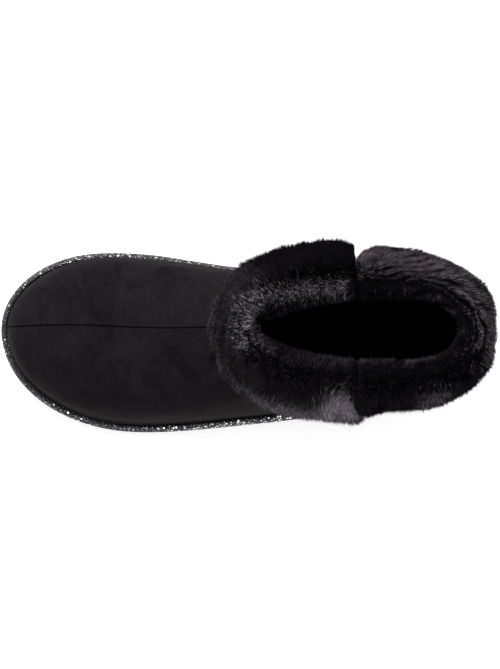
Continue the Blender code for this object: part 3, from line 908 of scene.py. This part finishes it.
def paint_tone_highlights_and_shade(piece, part):
    """Stores on a piece's points how light and how warm the hair is there: the fur's own tone and dark
    locks, painted highlights along the lines, and painted shade in the folds.
    """
    co = positions(piece.data)
    light = np.interp(co[:, 1], FUR_BASE_ACROSS, FUR_BASE_LIGHT)
    warm = np.full(len(co), FUR_BASE_WARM)
    uneven = sway(co)
    own = (stored(piece.data, "tint") - TINT_LOW) / (1 - TINT_LOW) * 2 - 1
    # Painted highlight along each line, over the fur's own light tips
    for line in TIP_AND_HIGHLIGHT_LINES:
        if line.piece != part:
            continue
        distance = from_line(co, line.points)[0] * (1 + LINE_SWAY * uneven - LINE_STRAY * own)
        near = np.exp(-((distance / line.reach) ** LINE_EDGE))
        warm += (line.warm - warm) * near
        light = np.maximum(light, line.light * near)
    light *= 1 - streaks(co)
    # Painted shade in the folds
    for fold in FOLDS:
        light *= 1 - FOLD_SHADE * bell(from_line(co, fold.points)[0], fold.reach * 0.45)
    store(piece.data, "light", "FLOAT", light)
    store(piece.data, "warm", "FLOAT", np.clip(warm, 0, 1))


def sway(co):
    """A soft uneven pattern between -1 and 1, a few millimetres across."""
    x, y, z = co.T
    one = np.sin(x * 780 + 2.2 * np.sin(y * 530 + z * 260))
    other = np.cos(y * 690 + 1.7 * np.sin(x * 450 - z * 380))
    return one * other


def streaks(co):
    """Dark wavy locks that lie along the collar round the heel, as a share to take off the light."""
    t, gap = off_run(co[:, :2], ANKLE_BACK, ANKLE_FRONT)
    ring = np.linalg.norm(gap, axis=1)
    along = t * (ANKLE_FRONT[0] - ANKLE_BACK[0]) + ring * np.arctan2(gap[:, 1], gap[:, 0])
    waves = np.sin(ring * LOCK_WAVES + 1.7 * np.sin(along * 260) + 2.4 * np.sin(along * 105 + ring * 340))
    fade = np.clip((LOCKS_FRONT - co[:, 0]) / LOCKS_RUN, 0, 1)
    return LOCK_SHADE * np.clip(waves * 1.9 + 0.1, 0, 1) * fade


def facing(co, no):
    """The level direction away from the collar at each point, and how far the face there turns that way."""
    away = outward_from_ankle(co)
    return away, (no * away).sum(1)


def drawn_in(node, material, wall):
    """A cuff piece's fur face drawn in towards the wall as an even mesh, and the solid's depth there."""
    piece = smooth_copy(node, node + "_pile", material, 0)
    remesh = piece.modifiers.new("even", "REMESH")
    remesh.mode = "VOXEL"
    remesh.voxel_size = CORE_STEP
    smooth = piece.modifiers.new("soft", "SMOOTH")
    smooth.iterations = CORE_SMOOTHING
    applied(piece)
    mesh = piece.data
    co = positions(mesh)
    near = np.array([wall.find_nearest(Vector(p))[0] for p in co])
    depth = np.linalg.norm(co - near, axis=1)
    sink = TIP_SINK * at_spot(co, TIP) + OUTER_HEM_SINK * at_spot(co, OUTER_HEM)
    set_positions(mesh, near + (co - near) * (CORE_SHARE * (1 - sink))[:, None])
    mesh.shade_smooth()
    return piece, depth


def combed(co, no, beside, apart):
    """The nap: down the outer face, along the collar round the heel, and away from side seams and folds."""
    away, side = facing(co, no)
    outer = side * np.abs(side)
    nap = (away * no[:, 2:3] - np.array((0, 0, 1.0)) * side[:, None]) * outer[:, None]
    round_heel = np.stack([-away[:, 1], away[:, 0], np.zeros(len(co))], 1)
    for sweep in SWEEPS:
        nap -= round_heel * (sweep.strength * at_spot(co, sweep) * (outer > 0))[:, None]
    for lean in LEANS:
        nap[:, 0] += lean.strength * at_spot(co, lean)
    nap[:, :2] += beside[:, :2] * (SEAM_PARTING * bell(apart, SEAM_PARTING_REACH))[:, None]
    for fold in FOLDS:
        distance, off = from_line(co, fold.points)
        nap += off * (FOLD_PARTING * bell(distance, fold.reach) * (no[:, 2] > 0.1))[:, None]
    return nap


def cut_short(co, no, side):
    """The share of its length that a hair keeps: less in the folds and at the opening's front tip."""
    share = np.ones(len(co))
    for fold in FOLDS:
        distance = from_line(co, fold.points)[0]
        share *= 1 - fold.depth * bell(distance, fold.reach * 0.6) * (no[:, 2] > 0.1)
    return share * (1 - TIP.strength * at_spot(co, TIP) * (side * np.abs(side) < 0.1))


def make_core(node, other, material, wall):
    """The deep pile of one cuff piece, with what its hairs need: where they grow, their nap and length."""
    face, neighbour = surface_of(node), surface_of(other)
    piece, depth = drawn_in(node, material, wall)
    mesh = piece.data
    co, no = positions(mesh), normals(mesh)
    reach = np.empty(len(co))
    beside, apart = np.empty((len(co), 3)), np.empty(len(co))
    for i, (spot, out) in enumerate(zip(co, no)):
        spot = Vector(spot)
        hit = face.ray_cast(spot, Vector(out))
        reach[i] = hit[3] if hit[3] is not None else OPEN_REACH
        there = neighbour.find_nearest(spot)
        apart[i] = there[3]
        beside[i] = (spot - there[0]) / max(there[3], 1e-6)
    side = facing(co, no)[1]
    length = (reach + pile_over(co, side)) * HAIR_REACH / HAIR_LENGTH
    store(mesh, "nap", "FLOAT_VECTOR", combed(co, no, beside, apart))
    store(mesh, "pile", "FLOAT", np.clip(length, *HAIR_SCALES) * cut_short(co, no, side))
    store(mesh, "grow", "FLOAT", np.clip((depth - PILE_FROM) / PILE_FROM, 0, 1))
    mesh.materials.clear()
    mesh.materials.append(material)
    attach(piece, "root")
    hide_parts(node)
    return piece


def density_for(piece, count):
    """The density that puts about so many hairs on a piece."""
    mesh = piece.data
    grow = stored(mesh, "grow")
    total = sum(face.area * grow[list(face.vertices)].mean() for face in mesh.polygons)
    return count / total


def make_cuff(wall):
    core = core_material()
    root = (0.0013, 0.0012, 0.0017)
    undercoat = fur_material(
        "undercoat", root, (0.0048, 0.0042, 0.0060), (0.525, 0.460, 0.5625), (0.50, 0.4175, 0.4525)
    )
    guard = fur_material(
        "guard_hair", root, (0.0074, 0.0065, 0.0092), (0.85, 0.744, 0.9125), (0.825, 0.6875, 0.75)
    )
    under_tree = hair_tree("undercoat", hair(HAIR_LENGTH * 0.92, HAIR_RADIUS * 1.1, False), undercoat)
    guard_tree = hair_tree("guard_hair", hair(HAIR_LENGTH, HAIR_RADIUS, True), guard)
    for seed, (node, other) in enumerate((("cuff_front", "cuff_back"), ("cuff_back", "cuff_front"))):
        base = make_core(node, other, core, wall)
        under = {**HAIR_VALUES, "Density": density_for(base, UNDERCOAT_COUNT), "Seed": seed}
        over = {**HAIR_VALUES, "Density": density_for(base, GUARD_COUNT), "Seed": seed + 5}
        for layer in (
            grown(node + "_undercoat", base, under_tree, under, undercoat),
            grown(node + "_guard_hair", base, guard_tree, over, guard),
        ):
            trim(layer, surface_of(node), seed)
            paint_tone_highlights_and_shade(layer, node)


# Sole, footbed and stage


def paint_node(node, material):
    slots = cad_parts[node].material_slots
    for slot in slots:
        slot.material = material


def make_stage():
    corners = [(x * FLOOR_HALF, y * FLOOR_HALF, FLOOR) for x, y in ((-1, -1), (1, -1), (1, 1), (-1, 1))]
    mesh = bpy.data.meshes.new("floor")
    mesh.from_pydata(corners, [], [(0, 1, 2, 3)])
    material, _, shader = new_material("floor")
    shader.inputs["Base Color"].default_value = (0.9, 0.9, 0.9, 1)
    shader.inputs["Roughness"].default_value = 1.0
    shader.inputs["Specular IOR Level"].default_value = 0.0
    shader.inputs["Emission Color"].default_value = (1, 1, 1, 1)
    shader.inputs["Emission Strength"].default_value = FLOOR_GLOW
    linked("floor", mesh, material)


def area_light(name, place, aim, size, power):
    data = bpy.data.lights.new(name, "AREA")
    data.size = size
    data.energy = power
    lamp = bpy.data.objects.new(name, data)
    lamp.location = place
    lamp.rotation_euler = (Vector(aim) - Vector(place)).to_track_quat("-Z", "Y").to_euler()
    bpy.context.scene.collection.objects.link(lamp)


def make_light():
    world = bpy.data.worlds.new("studio")
    bpy.context.scene.world = world
    world.use_nodes = True
    world.node_tree.nodes["Background"].inputs[0].default_value = (1, 1, 1, 1)
    world.node_tree.nodes["Background"].inputs[1].default_value = SKY_STRENGTH
    middle = (0.08, 0, 0.05)
    area_light("key", (0.55, -0.9, 0.7), middle, 0.6, KEY_POWER)
    area_light("fill", (-0.3, 0.8, 1.1), middle, 0.9, FILL_POWER)
    bpy.context.scene.view_settings.view_transform = "Standard"


def make_camera():
    data = bpy.data.cameras.new("camera")
    data.sensor_width = SENSOR
    field = IMAGE_HEIGHT_PX / PIXELS_PER_METRE
    data.lens = SENSOR * (CAMERA_HEIGHT - SOLE_PLANE) / field
    camera = bpy.data.objects.new("camera", data)
    camera.location = (CAMERA_X, CAMERA_Y, CAMERA_HEIGHT)
    camera.rotation_euler = (0, 0, math.pi)
    bpy.context.scene.collection.objects.link(camera)
    bpy.context.scene.camera = camera


def main():
    clean_start()
    make_camera()
    make_light()
    make_stage()
    suede, lining = suede_material(), lining_material()
    wall = surface_of("upper")
    make_upper(suede, lining, wall)
    make_band(knit_material(), sequin_material())
    paint_node("outsole", rubber_material())
    paint_node("platform", foam_material())
    paint_node("insole", lining)
    make_cuff(wall)


main()
